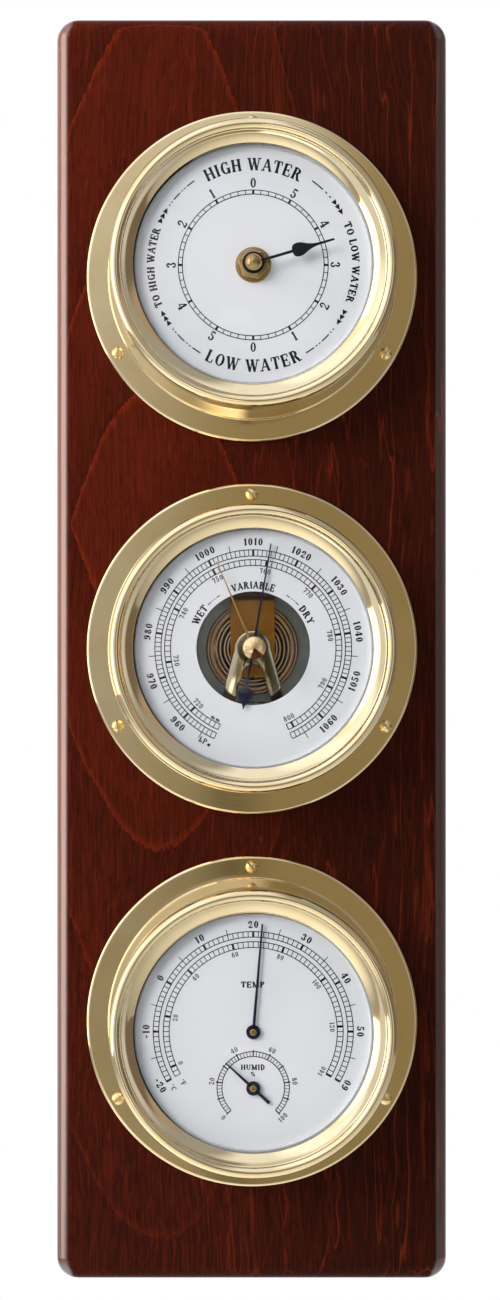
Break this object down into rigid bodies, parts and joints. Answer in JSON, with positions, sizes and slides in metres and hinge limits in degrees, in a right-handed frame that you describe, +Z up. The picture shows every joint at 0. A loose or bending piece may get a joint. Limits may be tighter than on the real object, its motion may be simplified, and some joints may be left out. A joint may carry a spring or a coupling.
{
  "type": "wall weather station",
  "caption": "Wooden wall board carrying a tide clock, an aneroid barometer and a thermometer with hygrometer in round brass ship's cases with domed glass.",
  "frame": {"origin": "centre of the hanger's keyhole on the wall plane", "axes": "+Z up, +X to the viewer's right, +Y into the wall; the dials face -Y"},
  "size_m": [0.124, 0.0591, 0.401],
  "materials": {
    "stained_wood": "mahogany-stained hardwood under satin lacquer, grain upright",
    "case_brass": "polished and lacquered spun brass",
    "screw_brass": "polished round-head brass screws",
    "fitting_brass": "turned bright brass",
    "bridge_brass": "stamped brass, lightly brushed",
    "gilt_brass": "gilt brass hand",
    "spring_bronze": "rolled spring bronze",
    "capsule_metal": "rippled capsule of tarnished copper alloy",
    "dial_enamel": "white enamelled dial with black printing",
    "black_enamel": "black enamelled hand",
    "grey_lacquer": "dark grey lacquered plate",
    "watch_glass": "clear domed watch glass",
    "gasket_rubber": "white spacer ring",
    "hanger_steel": "zinc-plated steel",
    "arbor_steel": "turned steel",
    "contact_steel": "nickel-plated spring strip",
    "movement_plastic": "black moulded plastic",
    "motor_plastic": "natural moulded plastic",
    "battery_jacket": "plain printed battery jacket"
  },
  "bodies": {
    "frame": {"baro_base_plate": "grey_lacquer", "baro_bezel": "case_brass", "baro_bridge": "bridge_brass", "baro_bridge_pillars": "bridge_brass", "baro_bridge_screws": "arbor_steel", "baro_capsule": "capsule_metal", "baro_case": "case_brass", "baro_case_screws": "screw_brass", "baro_dial": "dial_enamel", "baro_glass": "watch_glass", "baro_glass_gasket": "gasket_rubber", "baro_hairspring": "spring_bronze", "baro_main_spring": "spring_bronze", "baro_rocker_bearings": "bridge_brass", "baro_set_bush": "fitting_brass", "baro_transmission_lever": "arbor_steel", "base_board": "stained_wood", "hanger_plate": "hanger_steel", "hanger_screws": "hanger_steel", "hygro_coil": "spring_bronze", "thermo_bezel": "case_brass", "thermo_case": "case_brass", "thermo_case_screws": "screw_brass", "thermo_coil": "spring_bronze", "thermo_dial": "dial_enamel", "thermo_frame": "bridge_brass", "thermo_glass": "watch_glass", "thermo_glass_gasket": "gasket_rubber", "tide_battery_contacts": "contact_steel", "tide_bezel": "case_brass", "tide_case": "case_brass", "tide_case_screws": "screw_brass", "tide_centre_bush": "fitting_brass", "tide_dial": "dial_enamel", "tide_fixing_nut": "fitting_brass", "tide_fixing_washer": "fitting_brass", "tide_glass": "watch_glass", "tide_glass_gasket": "gasket_rubber", "tide_motor": "motor_plastic", "tide_movement_case": "movement_plastic", "tide_movement_cover": "movement_plastic"},
    "tide_hand_set": {"tide_hand_arbor": "fitting_brass", "tide_hand": "black_enamel", "tide_hand_cap": "fitting_brass"},
    "tide_setting": {"tide_setting_knob": "motor_plastic"},
    "tide_drive": {"tide_drive_pinion": "motor_plastic"},
    "tide_cell": {"tide_battery": "battery_jacket"},
    "baro_pointer_set": {"baro_pointer_arbor": "arbor_steel", "baro_pointer": "black_enamel", "baro_pointer_collet": "fitting_brass"},
    "baro_rocker": {"baro_rocker_shaft": "arbor_steel"},
    "baro_chain_run": {"baro_chain": "arbor_steel"},
    "baro_set_hand_set": {"baro_set_knob": "fitting_brass", "baro_set_hand": "gilt_brass"},
    "baro_adjuster": {"baro_adjust_screw": "arbor_steel"},
    "thermo_pointer_set": {"thermo_arbor": "fitting_brass", "thermo_pointer": "black_enamel"},
    "hygro_pointer_set": {"hygro_arbor": "fitting_brass", "hygro_pointer": "black_enamel"}
  },
  "joints": [
    {"name": "tide_hand_turn", "type": "hinge", "parent": "frame", "child": "tide_hand_set", "pos_m": [0, -0.046, -0.0625], "axis": [0, 1, 0], "continuous": true},
    {"name": "tide_setting_turn", "type": "hinge", "parent": "frame", "child": "tide_setting", "pos_m": [0, -0.025, -0.055], "axis": [0, 1, 0], "continuous": true},
    {"name": "tide_drive_turn", "type": "hinge", "parent": "frame", "child": "tide_drive", "pos_m": [-0.0075, -0.034, -0.0625], "axis": [0, 1, 0], "continuous": true},
    {"name": "tide_battery_lift_out", "type": "slide", "parent": "frame", "child": "tide_cell", "axis": [0, 1, 0], "range_m": [0, 0.045]},
    {"name": "baro_pointer_turn", "type": "hinge", "parent": "frame", "child": "baro_pointer_set", "pos_m": [0, -0.043, -0.1805], "axis": [0, 1, 0], "range_deg": [-166.6, 147.4], "stiffness_Nm_per_rad": 0.0005, "deforming": ["baro_hairspring"]},
    {"name": "baro_rocker_turn", "type": "hinge", "parent": "frame", "child": "baro_rocker", "pos_m": [0, -0.025, -0.198], "axis": [1, 0, 0], "range_deg": [-12, 10.5]},
    {"name": "baro_chain_pull", "type": "slide", "parent": "frame", "child": "baro_chain_run", "axis": [0, 0, -1], "range_m": [-0.00185, 0.00165]},
    {"name": "baro_set_hand_turn", "type": "hinge", "parent": "frame", "child": "baro_set_hand_set", "pos_m": [0, -0.054, -0.1805], "axis": [0, 1, 0], "continuous": true},
    {"name": "baro_adjust_turn", "type": "hinge", "parent": "frame", "child": "baro_adjuster", "pos_m": [0, -0.018, -0.1585], "axis": [0, 1, 0], "range_deg": [-180, 180]},
    {"name": "thermo_pointer_turn", "type": "hinge", "parent": "frame", "child": "thermo_pointer_set", "pos_m": [0, -0.043, -0.2985], "axis": [0, 1, 0], "range_deg": [-124.8, 115.2], "stiffness_Nm_per_rad": 0.0003, "deforming": ["thermo_coil"]},
    {"name": "hygro_pointer_turn", "type": "hinge", "parent": "frame", "child": "hygro_pointer_set", "pos_m": [0, -0.043, -0.31575], "axis": [0, 1, 0], "range_deg": [-87.5, 182.5], "stiffness_Nm_per_rad": 0.0002, "deforming": ["hygro_coil"]}
  ],
  "couplings": [
    {"joint": "tide_setting_turn", "follows": "tide_hand_turn", "ratio": -4},
    {"joint": "tide_drive_turn", "follows": "tide_hand_turn", "ratio": -4},
    {"joint": "baro_rocker_turn", "follows": "baro_pointer_turn", "ratio": 0.067797},
    {"joint": "baro_chain_pull", "follows": "baro_pointer_turn", "m_per_rad": 0.0006}
  ]
}
